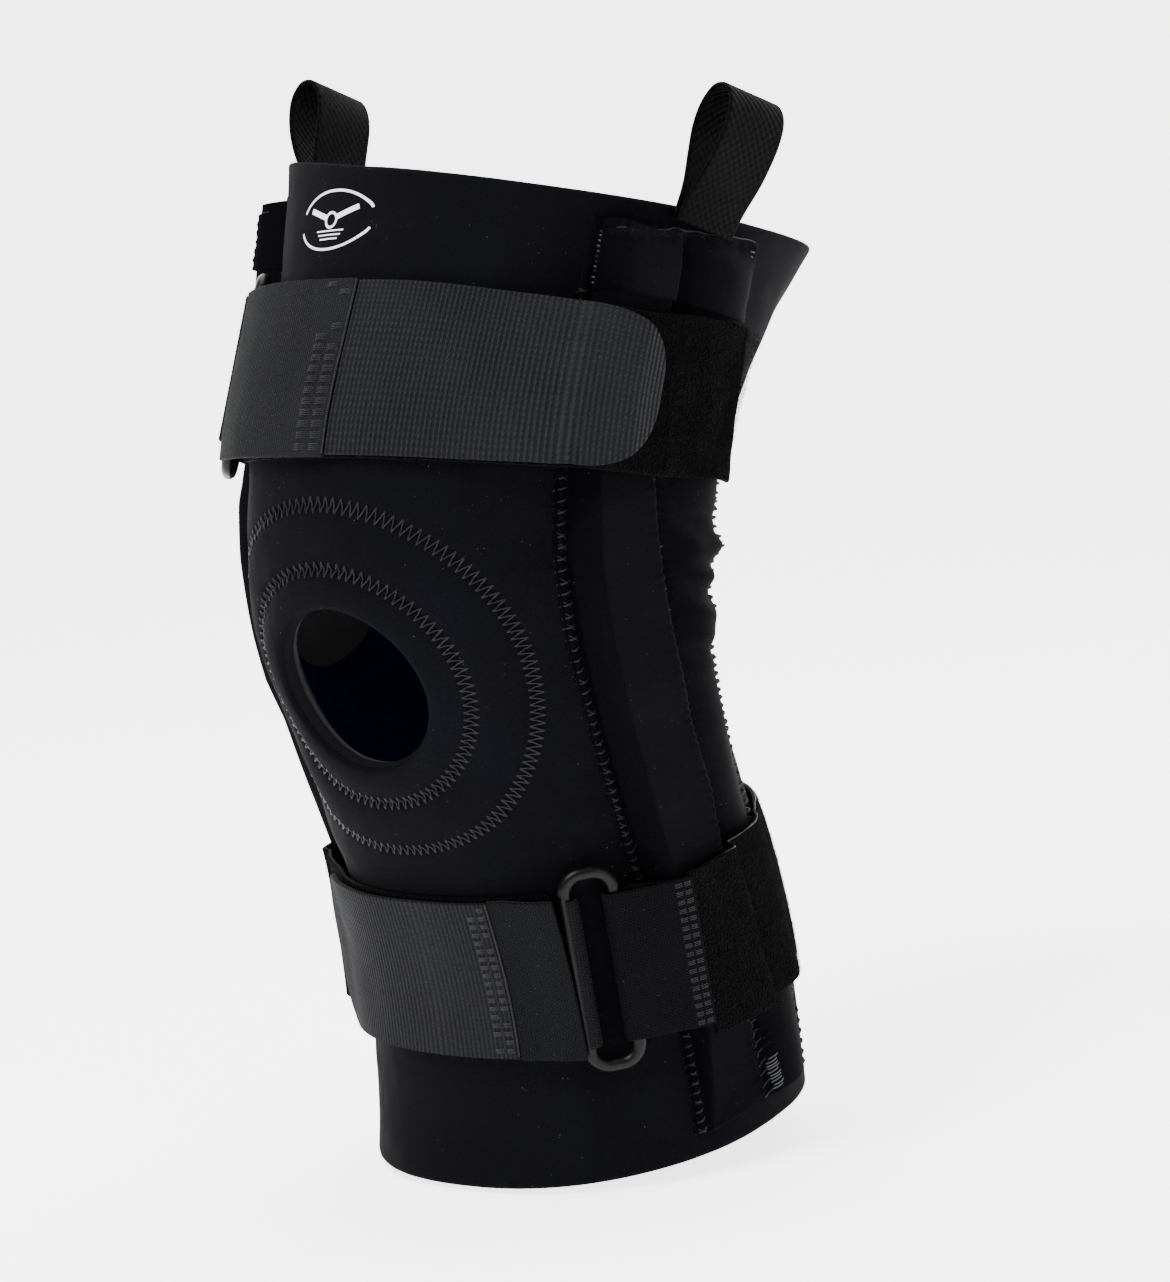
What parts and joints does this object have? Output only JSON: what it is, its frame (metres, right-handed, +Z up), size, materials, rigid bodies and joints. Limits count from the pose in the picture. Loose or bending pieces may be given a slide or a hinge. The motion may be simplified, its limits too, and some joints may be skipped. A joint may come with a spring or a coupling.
{
  "type": "knee brace",
  "caption": "Hinged knee support sleeve with an open kneecap, geared side hinges in pockets, two ring-and-tab straps and pull loops",
  "frame": {"origin": "midway between the two hinges and midway between the two pivots of each hinge, on the knee's turning axis", "axes": "+X to the outer side of the leg along the hinge pivots, +Y to the back of the leg, +Z up, in the plane that halves the bend of the knee"},
  "size_m": [0.1821, 0.2096, 0.3354],
  "materials": {
    "neoprene": "knit-faced neoprene, matt",
    "edge_tape": "knit tape with overlocked edges",
    "foam": "soft foam with a smooth skin",
    "steel": "stamped, fine brushed",
    "alloy": "rolled strip, tumbled edges",
    "rivet_steel": "turned heads",
    "white_plastic": "slippery plastic washers",
    "black_plastic": "moulded, fine texture",
    "ring_plastic": "moulded, satin",
    "webbing": "coarse woven webbing",
    "loop_pile": "brushed loop pile",
    "elastic": "ribbed knitted elastic",
    "hook_tape": "knit-backed hook tape"
  },
  "bodies": {
    "thigh": {"thigh_sleeve": "neoprene", "lateral_pocket_upper": "neoprene", "medial_pocket_upper": "neoprene", "lateral_pocket_cap": "edge_tape", "medial_pocket_cap": "edge_tape", "upper_strap_base": "loop_pile", "upper_strap_fold": "elastic", "upper_ring": "ring_plastic", "upper_ring_anchor": "webbing", "lateral_upper_arm": "alloy", "medial_upper_arm": "alloy", "lateral_upper_tip": "black_plastic", "medial_upper_tip": "black_plastic"},
    "lateral_link": {"knee_sleeve": "neoprene", "lateral_pocket_knee": "neoprene", "patella_cushion": "foam", "lateral_inner_plate": "steel", "lateral_outer_plate": "steel", "lateral_rivets": "rivet_steel", "lateral_washers": "white_plastic", "lateral_extension_stop": "black_plastic", "lateral_condyle_pad": "foam"},
    "medial_link": {"medial_pocket_knee": "neoprene", "medial_inner_plate": "steel", "medial_outer_plate": "steel", "medial_rivets": "rivet_steel", "medial_washers": "white_plastic", "medial_extension_stop": "black_plastic", "medial_condyle_pad": "foam"},
    "shin": {"calf_sleeve": "neoprene", "lateral_pocket_lower": "neoprene", "medial_pocket_lower": "neoprene", "lower_strap_wrap": "loop_pile", "lower_strap_fold": "elastic", "lower_ring": "ring_plastic", "lower_ring_anchor": "webbing", "lateral_lower_arm": "alloy", "medial_lower_arm": "alloy", "lateral_lower_tip": "black_plastic", "medial_lower_tip": "black_plastic"},
    "upper_strap": {"upper_strap_band": "elastic", "upper_hook_tab": "hook_tape"},
    "lower_strap": {"lower_strap_band": "elastic", "lower_hook_tab": "hook_tape"},
    "lateral_loop": {"lateral_pull_loop": "webbing"},
    "medial_loop": {"medial_pull_loop": "webbing"}
  },
  "joints": [
    {"name": "lateral_thigh_pivot", "type": "hinge", "parent": "thigh", "child": "lateral_link", "pos_m": [0.0685, 0, 0.01], "axis": [1, 0, 0], "range_deg": [-15, 35], "deforming": ["knee_sleeve", "lateral_pocket_knee"]},
    {"name": "lateral_shin_pivot", "type": "hinge", "parent": "lateral_link", "child": "shin", "pos_m": [0.0685, 0, -0.01], "axis": [1, 0, 0], "range_deg": [-15, 35]},
    {"name": "medial_thigh_pivot", "type": "hinge", "parent": "thigh", "child": "medial_link", "pos_m": [-0.0685, 0, 0.01], "axis": [1, 0, 0], "range_deg": [-15, 35], "deforming": ["medial_pocket_knee"]},
    {"name": "upper_strap_opening", "type": "hinge", "parent": "thigh", "child": "upper_strap", "pos_m": [-0.04933, -0.03486, 0.0715], "axis": [0.016, -0.4251, -0.905], "range_deg": [0, 100]},
    {"name": "lower_strap_opening", "type": "hinge", "parent": "shin", "child": "lower_strap", "pos_m": [0.04779, -0.01544, -0.11494], "axis": [0.0078, -0.1244, 0.9922], "range_deg": [0, 100]},
    {"name": "lateral_loop_fold", "type": "hinge", "parent": "thigh", "child": "lateral_loop", "pos_m": [0.0738, 0.0435, 0.10455], "axis": [0.0363, 0.9355, -0.3514], "range_deg": [-5, 16], "stiffness_Nm_per_rad": 0.03},
    {"name": "medial_loop_fold", "type": "hinge", "parent": "thigh", "child": "medial_loop", "pos_m": [-0.07598, 0.04694, 0.11394], "axis": [0.0378, -0.9357, 0.3508], "range_deg": [-5, 16], "stiffness_Nm_per_rad": 0.03}
  ],
  "couplings": [
    {"joint": "lateral_shin_pivot", "follows": "lateral_thigh_pivot", "ratio": 1},
    {"joint": "medial_thigh_pivot", "follows": "lateral_thigh_pivot", "ratio": 1}
  ]
}
